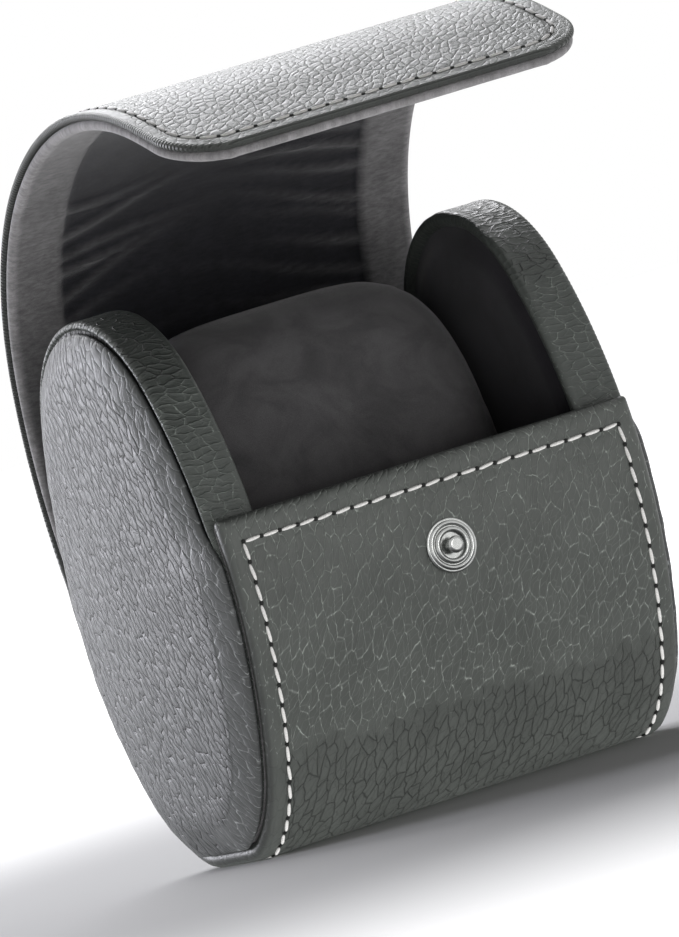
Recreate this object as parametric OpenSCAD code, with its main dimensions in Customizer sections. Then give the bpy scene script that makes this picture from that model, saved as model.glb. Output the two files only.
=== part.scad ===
// Watch travel case: two padded oval end caps, one leather wrap that runs on as the lid,
// a press stud on the front panel and a lift-out cushion. The lid is drawn open.
// Frame: X across the case, -Y towards the front, +Z up, origin at the centre of the flat base.

/* [Case] */
// Width of the leather wrap, edge to edge
case_w = 70; // [66:0.5:76]
// Depth of the oval end caps, front to back
oval_depth = 56; // [54:0.5:60]
// Height of the oval end caps before the base is pressed flat
oval_height = 83; // [80:0.5:88]
// Radius of the top and the bottom of the oval
oval_end_r = 23; // [22:0.25:24.5]
// How far the round bottom is pressed in where the case stands
base_press = 1.5; // [0.8:0.1:2]

/* [Wrap] */
// Thickness of the outer leather
leather_t = 1.1; // [0.8:0.1:1.4]
// Thickness of the stiffening board between leather and lining
board_t = 0.9; // [0.8:0.1:1.3]
// Thickness of the suede lining
lining_t = 1; // [0.8:0.1:1.3]
// How far the lining stays back from the edges of the leather
lining_inset = 0.6; // [0.3:0.1:1.2]
// Height of the front panel's top edge above the middle of the oval
panel_top = 7.4; // [5:0.2:11]
// Height of the lid's first fold line above the middle of the oval, at the back
fold_height = 4; // [2:0.5:7]

/* [Lid] */
// Backward lean of the open lid at its first fold line, in degrees
lid_lean = 8.5; // [6:0.5:10]
// Clearance between the lid's lining and the end caps
lid_gap = 0.35; // [0.3:0.05:0.5]
// Length of the stiff back of the lid, along its inner face
lid_back_len = 30; // [28:0.5:32]
// Radius of the stiff back, at its inner face
lid_back_r = 74; // [70:1:80]
// Length of the first strip of the crown
crown_1_len = 13; // [12:0.5:14]
// Length of the second strip of the crown
crown_2_len = 9; // [8:0.5:10]
// Length of the third strip of the crown
crown_3_len = 11.4; // [10.4:0.2:12.4]
// Radius of the crown, at its inner face
crown_r = 45; // [43:0.5:47]
// Length of the flap's curved root
flap_root_len = 50.6; // [49:0.2:52]
// Radius of the flap's root, at its inner face
flap_root_r = 51; // [48:0.5:54]
// Length of the flap's flat end
flap_end_len = 15; // [14.5:0.5:18]
// Radius of the flap's two corners
flap_corner_r = 10; // [6:0.5:13]
// Width of the kerf between neighbouring strips of the lid
kerf = 0.2; // [0.1:0.05:0.3]

/* [End caps] */
// Thickness of the oval board in each end cap
cap_board_t = 5.6; // [5:0.1:6.5]
// Thickness of the leather band round the rim
band_t = 0.9; // [0.7:0.1:1.2]
// Radius of the rolled edge at the inner side of the rim
roll_r = 1.1; // [0.9:0.05:1.3]
// Crown of the padded outer face
face_crown = 3.4; // [2.4:0.1:4.5]
// Thickness of the leather on the padded outer face
face_leather_t = 0.9; // [0.7:0.1:1.1]
// Thickness of the thin foam behind the inner velvet
inner_foam_t = 1.2; // [0.9:0.1:1.5]
// Thickness of the inner velvet panel
velvet_t = 0.8; // [0.6:0.1:1]

/* [Cushion] */
// How far the cushion's front stands ahead of the middle of the case
cushion_front = 9.7; // [7:0.1:12]
// Height of the cushion's top above the middle of the oval
cushion_top = 36.5; // [34:0.5:37.5]
// How much the cushion draws in towards its ends, all round
cushion_draw = 1.6; // [0.8:0.1:2.5]
// Clearance between the cushion and the parts round it
cushion_gap = 0.35; // [0.3:0.05:0.6]
// Thickness of the cushion's velvet cover
cover_t = 1.3; // [0.9:0.1:1.8]

/* [Press stud] */
// Height of the stud's centre above the middle of the oval
stud_height = -6; // [-7.5:0.25:-5]
// Radius of the stud's flange
flange_r = 4.1; // [3.8:0.1:4.4]
// Thickness of the flange's edge
flange_t = 0.45; // [0.35:0.05:0.55]
// Radius of the low ridge near the flange's edge
ridge_r = 3.35; // [3.25:0.05:3.5]
// Height of the low ridge above the leather
ridge_h = 0.72; // [0.65:0.01:0.8]
// Radius of the raised ring round the recess
ring_r = 2.4; // [2.35:0.05:2.5]
// Height of the raised ring above the leather
ring_h = 0.95; // [0.85:0.05:1.05]
// Height of the recess's floor above the leather
recess_h = 0.2; // [0.15:0.01:0.3]
// Radius of the stud's head
head_r = 1.3; // [1.2:0.05:1.4]
// Radius of the head's rounded edge
head_edge_r = 0.5; // [0.4:0.05:0.6]
// Height of the head's top above the leather
head_h = 2.15; // [2:0.05:2.3]
// Radius of the shanks that rivet the stud and the socket
shank_r = 1.2; // [1:0.05:1.4]
// Radius of the hidden rivet plates
plate_r = 3.4; // [3:0.1:3.7]
// Thickness of the hidden rivet plates
plate_t = 0.3; // [0.2:0.05:0.35]
// Radius of the socket's mouth
mouth_r = 2; // [1.9:0.05:2.2]
// Radius of the socket's two spring wires
wire_r = 0.17; // [0.12:0.01:0.2]
// Clearance between the head and each spring wire
wire_gap = 0.08; // [0.05:0.01:0.12]
// How far the socket stands out of the lining
socket_proud = 0.95; // [0.8:0.05:1]

/* [Hidden] */
$fn = 96;

// Oval: two side arcs and two end arcs that meet with a common tangent
half_d = oval_depth / 2;
half_h = oval_height / 2;
end_z = half_h - oval_end_r;
side_r = (half_d * half_d + end_z * end_z - oval_end_r * oval_end_r) / (2 * (half_d - oval_end_r));
side_y = side_r - half_d;
join_a = atan2(end_z, side_y);

wrap_t = lining_t + board_t + leather_t;
centre_z = half_h - base_press + wrap_t;

// Reach of half planes past everything, and of cutting shapes past the layers that they cut
far = 200;
past = 10;

// Lid: each strip is [length, radius] along its inner face; the last one also has a flat end
strips = [
    [lid_back_len, lid_back_r],
    [crown_1_len, crown_r],
    [crown_2_len, crown_r],
    [crown_3_len, crown_r],
    [flap_root_len, flap_root_r]
];
flap = len(strips) - 1;
flap_steps = 32;
filler_t = board_t - lid_gap;
lid_t = lining_t + filler_t + leather_t;
fold_a = asin(fold_height / side_r);
wrap_cut_a = (fold_a - lid_lean) / 2;
fold_start = [
    (side_r + lid_gap) * cos(fold_a) - side_y,
    (side_r + lid_gap) * sin(fold_a),
    -lid_lean
];

// A place on the lid is [y, z, heading]; the heading is measured from up, towards the front
function straight(at, run) = [at[0] - run * sin(at[2]), at[1] + run * cos(at[2]), at[2]];
function bent(at, strip) =
    let (r = strip[1], turned = at[2] + strip[0] / r * 180 / PI)
    [at[0] + r * (cos(turned) - cos(at[2])), at[1] + r * (sin(turned) - sin(at[2])), turned];
function open_at(k) = k == 0 ? fold_start : bent(open_at(k - 1), strips[k - 1]);
flat_open = open_at(len(strips));
tip_open = straight(flat_open, flap_end_len);
fold_turn = (180 - tip_open[2]) / len(strips);
function turned_in(at) = [at[0], at[1], at[2] + fold_turn];
function shut_at(k) = turned_in(k == 0 ? fold_start : bent(shut_at(k - 1), strips[k - 1]));
tip_shut = straight(bent(shut_at(flap), strips[flap]), flap_end_len);

// Press stud: the socket is placed where the closed flap meets the stud
panel_y = sqrt(pow(side_r + wrap_t, 2) - stud_height * stud_height) - side_y;
seat_sink = (side_r + wrap_t) - sqrt(pow(side_r + wrap_t, 2) - flange_r * flange_r) + 0.05;
plate_top = -leather_t - board_t / 2;
ridge_half_w = 0.42;
socket_from_tip = stud_height - tip_shut[1];
socket_at = straight(tip_open, -socket_from_tip);
socket_plate_z = lining_t + filler_t;
socket_depth = 1.2;
socket_floor = 0.35;
shank_start = (socket_floor + socket_depth) / 2;
mouth_chamfer = 0.35;
wire_height = 0.65;
wire_seat = 0.6;
pocket_gap = 0.05;

// End caps, from the outer seam inwards
seam_x = case_w / 2 + 0.1;
board_in_x = seam_x - cap_board_t;
roll_x = board_in_x - roll_r;
foam_in_x = board_in_x - inner_foam_t;
velvet_in_x = foam_in_x - velvet_t;
inner_inset = 2 * roll_r + 0.1;
face_inset = 0.15;
face_power = 3.2;

// Cushion: a rounded pillow between the end caps, pressed against the back and the base
cushion_half_w = velvet_in_x - cushion_gap;
cushion_side_n = 5;
cushion_oval_n = 2.3;
cushion_low = -half_h + base_press + cushion_gap;
cushion_half_h = (cushion_top - cushion_low) / 2;
cushion_z = (cushion_top + cushion_low) / 2;
cushion_half_d = (half_d + cushion_front) / 2;
cushion_y = cushion_half_d - cushion_front;

leather_colour = "#4b504c";
suede_colour = "#5f5c5c";
velvet_colour = "#5a595b";
dark_velvet_colour = "#2a2a2d";
board_colour = "#8d7a62";
foam_colour = "#d8d2c0";
metal_colour = "#c8c9cc";

// ---- outlines in the plane of the oval: x is the case's Y, y is the height above the oval's middle

module oval(t) {
    join_y = (side_r + t) * sin(join_a);
    intersection() {
        union() {
            intersection() {
                translate([-side_y, 0]) circle(side_r + t);
                translate([side_y, 0]) circle(side_r + t);
                translate([-far / 2, -join_y]) square([far, 2 * join_y]);
            }
            for (end = [-1, 1]) translate([0, end * end_z]) circle(oval_end_r + t);
        }
        translate([-far / 2, -half_h + base_press - t]) square([far, far]);
    }
}

module layer(t_in, t_out) {
    difference() {
        oval(t_out);
        oval(t_in);
    }
}

// The part of the wrap that stays put: the front panel, the base and the lower back
function back_cut(y) = fold_start[1] + (y - fold_start[0]) * tan(wrap_cut_a) - kerf / 2;
module fixed_zone() {
    polygon([
        [-far, -far], [-far, panel_top], [0, panel_top],
        [0, back_cut(0)], [far, back_cut(far)], [far, -far]
    ]);
}

function centre_of(at, r) = [at[0] - r * cos(at[2]), at[1] - r * sin(at[2])];
function out_at(at, t) = [at[0] + t * cos(at[2]), at[1] + t * sin(at[2])];

module arc_strip(at, strip, t_in, t_out) {
    r = strip[1];
    turn = strip[0] / r * 180 / PI;
    translate(centre_of(at, r)) intersection() {
        difference() {
            circle(r + t_out);
            circle(r + t_in);
        }
        polygon([
            [0, 0],
            for (part = [0:2]) 2 * r * [cos(at[2] + part * turn / 2), sin(at[2] + part * turn / 2)]
        ]);
    }
}

// A point of the flap's face at a thickness, along its curved root
function flap_face(t, i) = out_at(bent(open_at(flap), [flap_root_len * i / flap_steps, flap_root_r]), t);

module flap_strip(t_in, t_out, trim) {
    tip = straight(flat_open, flap_end_len - trim);
    polygon([
        for (i = [0:flap_steps]) flap_face(t_out, i),
        out_at(tip, t_out),
        out_at(tip, t_in),
        for (i = [flap_steps:-1:0]) flap_face(t_in, i)
    ]);
}

module kerf_at(at) {
    translate([at[0], at[1]]) rotate(at[2]) translate([-past, -kerf / 2]) square([2 * past, kerf]);
}

module strip_outline(k, t_in, t_out, trim) {
    start = open_at(k);
    difference() {
        if (k == flap) flap_strip(t_in, t_out, trim);
        else arc_strip(start, strips[k], t_in, t_out);
        if (k > 0) kerf_at(start);
        if (k < flap) kerf_at(open_at(k + 1));
        if (k == 0) translate([start[0], start[1]]) rotate(wrap_cut_a)
            translate([-past, kerf / 2 - past]) square([2 * past, past]);
    }
}

// ---- placing

// Extrudes an outline in the plane of the oval across the case
module across(w) {
    translate([0, 0, centre_z]) rotate([90, 0, 90]) translate([0, 0, -w / 2]) linear_extrude(w) children();
}

// Extrudes an oval outline from one distance off the middle to another, on one side
module side_slab(side, x_in, x_out) {
    translate([0, 0, centre_z]) mirror([side < 0 ? 1 : 0, 0, 0]) rotate([90, 0, 90])
        translate([0, 0, x_in]) linear_extrude(x_out - x_in) children();
}

// Local Z is the outward normal of the lid at a place, local Y runs back towards the hinge side
module on_lid(at) {
    translate([0, at[0], centre_z + at[1]]) rotate([at[2] - 90, 0, 0]) children();
}

// Local Z points out of the front panel at the stud
module on_panel() {
    translate([0, -panel_y, centre_z + stud_height]) rotate([90, 0, 0]) children();
}

// ---- soft forms

// Point on the oval at a parameter from 0 to 360, at an inset; the base stays pressed flat
function oval_point(a, t) =
    let (
        low = -half_h + base_press - t,
        up = sin(a) >= 0 ? 1 : -1,
        fwd = cos(a) >= 0 ? 1 : -1,
        f = asin(abs(sin(a))),
        q = f < join_a
            ? [(side_r + t) * cos(f) - side_y, (side_r + t) * sin(f)]
            : [(oval_end_r + t) * cos(f), end_z + (oval_end_r + t) * sin(f)]
    ) [fwd * q[0], max(up * q[1], low)];

face_points = 48;
face_rings = [1, 0.985, 0.95, 0.89, 0.8, 0.66, 0.48, 0.26];
function crown_at(s) = face_crown * pow(1 - pow(s, face_power), 0.62);
function face_ring(s, x) = [
    for (i = [0:face_points - 1])
        let (p = oval_point(i * 360 / face_points, -face_inset)) [x, s * p[0], s * p[1]]
];
function ring_faces(a, b, n, flip) = [
    for (i = [0:n - 1])
        let (j = (i + 1) % n)
        each (flip ? [[a + i, b + j, a + j], [a + i, b + i, b + j]]
                   : [[a + i, a + j, b + j], [a + i, b + j, b + i]])
];
function fan_faces(a, hub, n, flip) = [
    for (i = [0:n - 1]) let (j = (i + 1) % n) flip ? [a + j, a + i, hub] : [a + i, a + j, hub]
];

// Skin or filling of the padded face: the top follows the crown, lifted by lift;
// the underside is the same surface lower down, or flat at the board
module crowned(lift, under) {
    n = face_points;
    m = len(face_rings);
    top = [for (s = face_rings) each face_ring(s, lift + crown_at(s))];
    low = [for (s = face_rings) each face_ring(s, lift - under + crown_at(s))];
    points = concat(top, [[lift + face_crown, 0, 0]], low, [[lift - under + face_crown, 0, 0]]);
    base = m * n + 1;
    polyhedron(points, concat(
        [for (k = [0:m - 2]) each ring_faces(k * n, (k + 1) * n, n, true)],
        fan_faces((m - 1) * n, m * n, n, true),
        [for (k = [0:m - 2]) each ring_faces(base + k * n, base + (k + 1) * n, n, false)],
        fan_faces(base + (m - 1) * n, base + m * n, n, false),
        ring_faces(0, base, n, false)
    ));
}

module crowned_filling() {
    n = face_points;
    m = len(face_rings);
    top = [for (s = face_rings) each face_ring(s, crown_at(s))];
    points = concat(top, [[face_crown, 0, 0], [0, 0, 0]]);
    polyhedron(points, concat(
        [for (k = [0:m - 2]) each ring_faces(k * n, (k + 1) * n, n, true)],
        fan_faces((m - 1) * n, m * n, n, true),
        fan_faces(0, m * n + 1, n, false)
    ));
}

module on_face(side) {
    translate([0, 0, centre_z]) mirror([side < 0 ? 1 : 0, 0, 0]) translate([seam_x, 0, 0]) children();
}

roll_sides = 12;
cushion_points = 40;
cushion_rings = 13;
function power(v, n) = sign(v) * pow(abs(v), n);

// Where the inside of the case lies at a height, seen from its middle, less a clearance
function inside_at(z, t) = abs(z) < (side_r + t) * sin(join_a)
    ? sqrt(pow(side_r + t, 2) - z * z) - side_y
    : sqrt(max(0, pow(oval_end_r + t, 2) - pow(abs(z) - end_z, 2)));

function cushion_ring(v, in) = let (
        w = cushion_half_w - in,
        x = w * power(sin(v), 2 / cushion_side_n),
        s = pow(cos(v), 2 / cushion_side_n),
        draw = cushion_draw * pow(x / w, 2),
        d = (cushion_half_d - in - draw) * s,
        h = (cushion_half_h - in - draw) * s
    ) [
        for (i = [0:cushion_points - 1]) let (
            a = i * 360 / cushion_points,
            y = cushion_y + d * power(cos(a), 2 / cushion_oval_n),
            z = cushion_z + h * power(sin(a), 2 / cushion_oval_n)
        ) [x, min(y, inside_at(z, -cushion_gap - in - draw)), z]
    ];

module pillow(in) {
    n = cushion_points;
    m = cushion_rings;
    rows = [for (k = [0:m - 1]) each cushion_ring(-84 + 168 * k / (m - 1), in)];
    w = cushion_half_w - in;
    points = concat(rows, [[-w, cushion_y, cushion_z], [w, cushion_y, cushion_z]]);
    translate([0, 0, centre_z]) polyhedron(points, concat(
        [for (k = [0:m - 2]) each ring_faces(k * n, (k + 1) * n, n, true)],
        fan_faces(0, m * n, n, false),
        fan_faces((m - 1) * n, m * n + 1, n, true)
    ));
}

// ---- end caps

module cap_board(side) {
    color(board_colour) side_slab(side, board_in_x, seam_x) oval(-band_t);
}

module cap_band(side) {
    color(leather_colour) side_slab(side, board_in_x, seam_x) layer(-band_t, 0);
}

// The rolled edge is a round cord that follows the oval at the inner side of the rim
module cap_rolled_edge(side) {
    n = roll_sides;
    points = [
        for (i = [0:face_points - 1]) for (j = [0:n - 1])
            let (v = j * 360 / n, p = oval_point(i * 360 / face_points, roll_r * (cos(v) - 1)))
            [roll_x + roll_r * sin(v), p[0], p[1]]
    ];
    color(leather_colour) translate([0, 0, centre_z]) mirror([side < 0 ? 1 : 0, 0, 0])
        polyhedron(points, [
            for (i = [0:face_points - 1])
                each ring_faces(i * n, (i + 1) % face_points * n, n, false)
        ]);
}

module cap_face_foam(side) {
    color(foam_colour) on_face(side) crowned_filling();
}

module cap_face_leather(side) {
    color(leather_colour) on_face(side) crowned(face_leather_t, face_leather_t);
}

module cap_inner_foam(side) {
    color(foam_colour) side_slab(side, foam_in_x, board_in_x) oval(-inner_inset);
}

module cap_velvet(side) {
    color(dark_velvet_colour) side_slab(side, velvet_in_x, foam_in_x) oval(-inner_inset);
}

// ---- wrap

module wrap_leather() {
    color(leather_colour) difference() {
        across(case_w) intersection() {
            layer(lining_t + board_t, wrap_t);
            fixed_zone();
        }
        on_panel() translate([0, 0, -seat_sink]) cylinder(r = flange_r + pocket_gap, h = past);
        on_panel() cylinder(r = shank_r, h = past, center = true);
    }
}

module wrap_board() {
    color(board_colour) difference() {
        across(case_w - 2 * lining_inset) intersection() {
            layer(lining_t, lining_t + board_t);
            fixed_zone();
        }
        on_panel() cylinder(r = shank_r, h = past, center = true);
        on_panel() translate([0, 0, plate_top - past]) cylinder(r = plate_r + pocket_gap, h = past);
    }
}

module wrap_lining() {
    color(suede_colour) difference() {
        across(case_w - 2 * lining_inset) intersection() {
            layer(0, lining_t);
            fixed_zone();
        }
        on_panel() translate([0, 0, plate_top - plate_t]) cylinder(r = plate_r + pocket_gap, h = past);
    }
}

// ---- lid

module lid_layer(k, t_in, t_out, inset) {
    difference() {
        across(case_w - 2 * inset) strip_outline(k, t_in, t_out, inset);
        if (k == flap) on_lid(straight(tip_open, -inset)) for (side = [0, 1]) mirror([side, 0, 0])
            translate([0, 0, -past]) linear_extrude(2 * past) corner_offcut(inset);
    }
}

module corner_offcut(inset) {
    r = flap_corner_r - inset;
    w = case_w / 2 - inset;
    difference() {
        translate([w - r, -1]) square([r + 1, r + 1]);
        translate([w - r, r]) circle(r);
    }
}

module lid_leather(k) {
    color(leather_colour) difference() {
        lid_layer(k, lining_t + filler_t, lid_t, 0);
        if (k == flap) on_lid(socket_at) translate([0, 0, socket_plate_z + plate_t - past])
            cylinder(r = plate_r + pocket_gap, h = past);
    }
}

module lid_filler(k) {
    color(board_colour) difference() {
        lid_layer(k, lining_t, lining_t + filler_t, lining_inset);
        if (k == flap) on_lid(socket_at) {
            cylinder(r = shank_r, h = past, center = true);
            translate([0, 0, socket_depth - past]) cylinder(r = flange_r + pocket_gap, h = past);
        }
    }
}

module lid_lining(k) {
    color(suede_colour) difference() {
        lid_layer(k, 0, lining_t, lining_inset);
        if (k == flap) on_lid(socket_at)
            cylinder(r = flange_r + pocket_gap, h = past, center = true);
    }
}

// ---- press stud

module snap_stud() {
    color(metal_colour) on_panel() {
        translate([0, 0, -seat_sink]) rotate_extrude() stud_outline();
        translate([0, 0, plate_top]) cylinder(r = shank_r, h = -plate_top);
    }
}

// Half section of the stud from its seat up: rounded flange, two ridges, recess and round-edged head
module stud_outline() {
    top = flange_t + seat_sink;
    difference() {
        union() {
            square([flange_r - flange_t / 2, top]);
            translate([flange_r - flange_t / 2, top - flange_t / 2]) circle(flange_t / 2);
            translate([flange_r - flange_t, 0]) square([flange_t, top - flange_t / 2]);
        }
        translate([0, recess_h + seat_sink]) square([ring_r, flange_t]);
    }
    stud_ridge(ridge_r, ridge_h);
    stud_ridge(ring_r, ring_h);
    head_z = head_h + seat_sink - head_edge_r;
    translate([head_r - head_edge_r, head_z]) circle(head_edge_r);
    square([head_r - head_edge_r, head_z + head_edge_r]);
}

module stud_ridge(r, h) {
    z = h + seat_sink - ridge_half_w;
    translate([r, z]) circle(ridge_half_w);
    translate([r - ridge_half_w, 0]) square([2 * ridge_half_w, z]);
}

module snap_stud_plate() {
    color(metal_colour) on_panel() translate([0, 0, plate_top - plate_t]) cylinder(r = plate_r, h = plate_t);
}

module spring_wires() {
    wire_x = head_r + wire_gap + wire_r;
    wire_len = 2 * (mouth_r + wire_seat);
    for (side = [-1, 1]) translate([side * wire_x, 0, wire_height - socket_proud])
        rotate([90, 0, 0]) cylinder(r = wire_r, h = wire_len, center = true, $fn = 24);
}

module snap_socket() {
    color(metal_colour) on_lid(socket_at) difference() {
        union() {
            translate([0, 0, -socket_proud]) rotate_extrude() socket_outline();
            translate([0, 0, shank_start]) cylinder(r = shank_r, h = socket_plate_z - shank_start);
        }
        spring_wires();
    }
}

// Half section of the socket, its mouth at the bottom
module socket_outline() {
    floor_h = socket_proud + socket_floor;
    difference() {
        square([flange_r, socket_proud + socket_depth]);
        square([mouth_r, floor_h]);
        polygon([
            [mouth_r - 0.1, -0.1], [mouth_r + mouth_chamfer + 0.1, -0.1],
            [mouth_r - 0.1, mouth_chamfer + 0.1]
        ]);
        polygon([
            [flange_r + 0.1, -0.1], [flange_r - mouth_chamfer - 0.1, -0.1],
            [flange_r + 0.1, mouth_chamfer + 0.1]
        ]);
    }
}

module snap_socket_springs() {
    color(metal_colour) on_lid(socket_at) spring_wires();
}

// The socket's rivet plate lies between the filler and the leather
module snap_socket_plate() {
    color(metal_colour) on_lid(socket_at)
        translate([0, 0, socket_plate_z]) cylinder(r = plate_r, h = plate_t);
}

// ---- cushion

module cushion_cover() {
    color(velvet_colour) difference() {
        pillow(0);
        pillow(cover_t);
    }
}

module cushion_core() {
    color(foam_colour) pillow(cover_t);
}

cap_board(-1);  // cap_board_left
cap_board(1);  // cap_board_right
cap_band(-1);  // cap_band_left
cap_band(1);  // cap_band_right
cap_rolled_edge(-1);  // cap_rolled_edge_left
cap_rolled_edge(1);  // cap_rolled_edge_right
cap_face_foam(-1);  // cap_face_foam_left
cap_face_foam(1);  // cap_face_foam_right
cap_face_leather(-1);  // cap_face_leather_left
cap_face_leather(1);  // cap_face_leather_right
cap_inner_foam(-1);  // cap_inner_foam_left
cap_inner_foam(1);  // cap_inner_foam_right
cap_velvet(-1);  // cap_velvet_left
cap_velvet(1);  // cap_velvet_right
wrap_leather();
wrap_board();
wrap_lining();
lid_leather(0);  // lid_back_leather
lid_filler(0);  // lid_back_filler
lid_lining(0);  // lid_back_lining
lid_leather(1);  // lid_crown_1_leather
lid_filler(1);  // lid_crown_1_filler
lid_lining(1);  // lid_crown_1_lining
lid_leather(2);  // lid_crown_2_leather
lid_filler(2);  // lid_crown_2_filler
lid_lining(2);  // lid_crown_2_lining
lid_leather(3);  // lid_crown_3_leather
lid_filler(3);  // lid_crown_3_filler
lid_lining(3);  // lid_crown_3_lining
lid_leather(4);  // lid_flap_leather
lid_filler(4);  // lid_flap_filler
lid_lining(4);  // lid_flap_lining
snap_stud();
snap_stud_plate();
snap_socket();
snap_socket_springs();
snap_socket_plate();
cushion_cover();
cushion_core();
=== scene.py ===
"""Looks of the travel case: leather, suede, velvet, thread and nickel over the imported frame.

The leather and the lining follow one line in the plane of the oval: down the front panel, round
the base, up the back and on along the lid. Everything on them is placed by two lengths, the
distance along that line and the distance across the case, so that it meets at every fold.
"""

import math
import random

import bmesh
import bpy
import numpy as np
from mathutils import Matrix, Vector, noise


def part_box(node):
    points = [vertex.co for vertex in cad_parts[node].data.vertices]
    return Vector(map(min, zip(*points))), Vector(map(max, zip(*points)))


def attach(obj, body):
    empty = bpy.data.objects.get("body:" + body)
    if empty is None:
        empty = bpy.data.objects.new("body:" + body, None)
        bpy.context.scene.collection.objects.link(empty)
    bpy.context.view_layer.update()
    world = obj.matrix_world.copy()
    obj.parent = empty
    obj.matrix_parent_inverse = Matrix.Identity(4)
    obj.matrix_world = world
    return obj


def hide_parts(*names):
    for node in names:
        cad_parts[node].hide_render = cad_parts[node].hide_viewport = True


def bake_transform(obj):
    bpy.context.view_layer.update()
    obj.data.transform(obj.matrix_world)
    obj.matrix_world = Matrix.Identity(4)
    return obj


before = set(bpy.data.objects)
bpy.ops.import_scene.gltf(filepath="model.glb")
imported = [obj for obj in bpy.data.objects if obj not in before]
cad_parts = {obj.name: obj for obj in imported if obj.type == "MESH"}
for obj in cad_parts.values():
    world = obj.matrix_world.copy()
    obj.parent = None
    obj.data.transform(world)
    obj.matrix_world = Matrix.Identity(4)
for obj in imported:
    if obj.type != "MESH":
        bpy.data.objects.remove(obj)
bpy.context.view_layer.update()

MM = 0.001
SEED = 7
LID_LINKS = ["lid_back", "lid_crown_1", "lid_crown_2", "lid_crown_3", "lid_flap"]

# ---- the oval and the line of the strip, in millimetres from the middle of the oval

BASE_PRESS = 1.5
END_R = 23.0
LID_LEAN = 8.5
LID_GAP = 0.35
LID_STRIPS = [(30.0, 74.0), (13.0, 45.0), (9.0, 45.0), (11.4, 45.0), (50.6, 51.0)]
FLAP_END = 15.0
FOLD_HEIGHT = 4.0

band_low, band_high = (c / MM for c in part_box("cap_band_left"))
wrap_low, wrap_high = (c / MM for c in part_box("wrap_leather"))
HALF_W = wrap_high.x
HALF_D = band_high.y
HALF_H = (band_high.z - band_low.z + BASE_PRESS) / 2
CENTRE_Z = band_high.z - HALF_H
END_Z = HALF_H - END_R
SIDE_R = (HALF_D ** 2 + END_Z ** 2 - END_R ** 2) / (2 * (HALF_D - END_R))
SIDE_Y = SIDE_R - HALF_D
JOIN_A = math.atan2(END_Z, SIDE_Y)
PANEL_TOP = wrap_high.z - CENTRE_Z
WRAP_T = -wrap_low.z + CENTRE_Z - HALF_H + BASE_PRESS
STEP = 0.25
CORNER_REACH = 1.1


def bent(y, z, heading, run, radius):
    """A place further along an arc; the heading is the angle of the outward normal."""
    turned = heading + run / radius
    return (
        y + radius * (math.cos(turned) - math.cos(heading)),
        z + radius * (math.sin(turned) - math.sin(heading)),
        turned,
    )


def sampled(place, runs):
    """Points every STEP along arcs that follow each other, and the place at each arc's end."""
    points, ends = [], []
    for run, radius in runs:
        count = max(1, round(run / STEP))
        for i in range(count):
            points.append(bent(*place, run * i / count, radius)[:2])
        place = bent(*place, run, radius)
        ends.append(place)
    return points, ends


def rounded_off(points, reach):
    """The line with its corners rounded by a running mean, with its ends kept."""
    width = int(3 * reach / STEP)
    weight = np.exp(-0.5 * (np.arange(-width, width + 1) * STEP / reach) ** 2)
    weight /= weight.sum()
    first, last = points[1] - points[0], points[-1] - points[-2]
    before = points[0] - first * np.arange(width, 0, -1)[:, None]
    after = points[-1] + last * np.arange(1, width + 1)[:, None]
    wide = np.vstack([before, points, after])
    return np.stack([np.convolve(wide[:, k], weight, "valid") for k in (0, 1)], 1)


def run_along(points):
    """Distance along a line of points, at each of them."""
    return np.concatenate([[0], np.cumsum(np.hypot(*np.diff(points, axis=0).T))])


class StripLine:
    """Inner face of the strip as a line, by the distance along it from the front panel's top."""

    def __init__(self):
        top_a = math.asin(PANEL_TOP / SIDE_R)
        fold_a = math.asin(FOLD_HEIGHT / SIDE_R)
        start = (SIDE_Y - SIDE_R * math.cos(top_a), SIDE_R * math.sin(top_a), math.pi - top_a)
        wrap, _ = sampled(start, [
            (SIDE_R * (top_a + JOIN_A), SIDE_R),
            (END_R * (math.pi - 2 * JOIN_A), END_R),
            (SIDE_R * (JOIN_A + fold_a), SIDE_R),
        ])
        floor = -HALF_H + BASE_PRESS
        wrap = [(y, max(z, floor)) for y, z in wrap]
        hinge = (
            (SIDE_R + LID_GAP) * math.cos(fold_a) - SIDE_Y,
            (SIDE_R + LID_GAP) * math.sin(fold_a),
            -math.radians(LID_LEAN),
        )
        lid, ends = sampled(hinge, LID_STRIPS)
        y, z, heading = ends[-1]
        way = np.array([-math.sin(heading), math.cos(heading)])
        flat = [np.array([y, z]) + way * r for r in np.arange(0, FLAP_END + STEP / 2, STEP)]
        raw = np.array([*wrap, *lid, *flat])
        self.at = run_along(raw)
        self.points = rounded_off(raw, CORNER_REACH)
        way = np.gradient(self.points, axis=0)
        way /= np.linalg.norm(way, axis=1)[:, None]
        self.normals = np.stack([way[:, 1], -way[:, 0]], 1)
        self.length = self.at[-1]
        self.fold = [self.at[len(wrap)]]
        for run, _ in LID_STRIPS[:-1]:
            self.fold.append(self.fold[-1] + run)

    def place(self, s, t):
        """(y, z) at distances along the line, lifted by t off it."""
        base = [np.interp(s, self.at, self.points[:, k]) for k in (0, 1)]
        up = [np.interp(s, self.at, self.normals[:, k]) for k in (0, 1)]
        return base[0] + t * up[0], base[1] + t * up[1]


line = StripLine()


def strip_point(x, s, t):
    """A place on the strip in metres in the row frame: across, along, and lifted off the line."""
    y, z = line.place(s, t)
    return Vector((x, y, z + CENTRE_Z)) * MM


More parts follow.
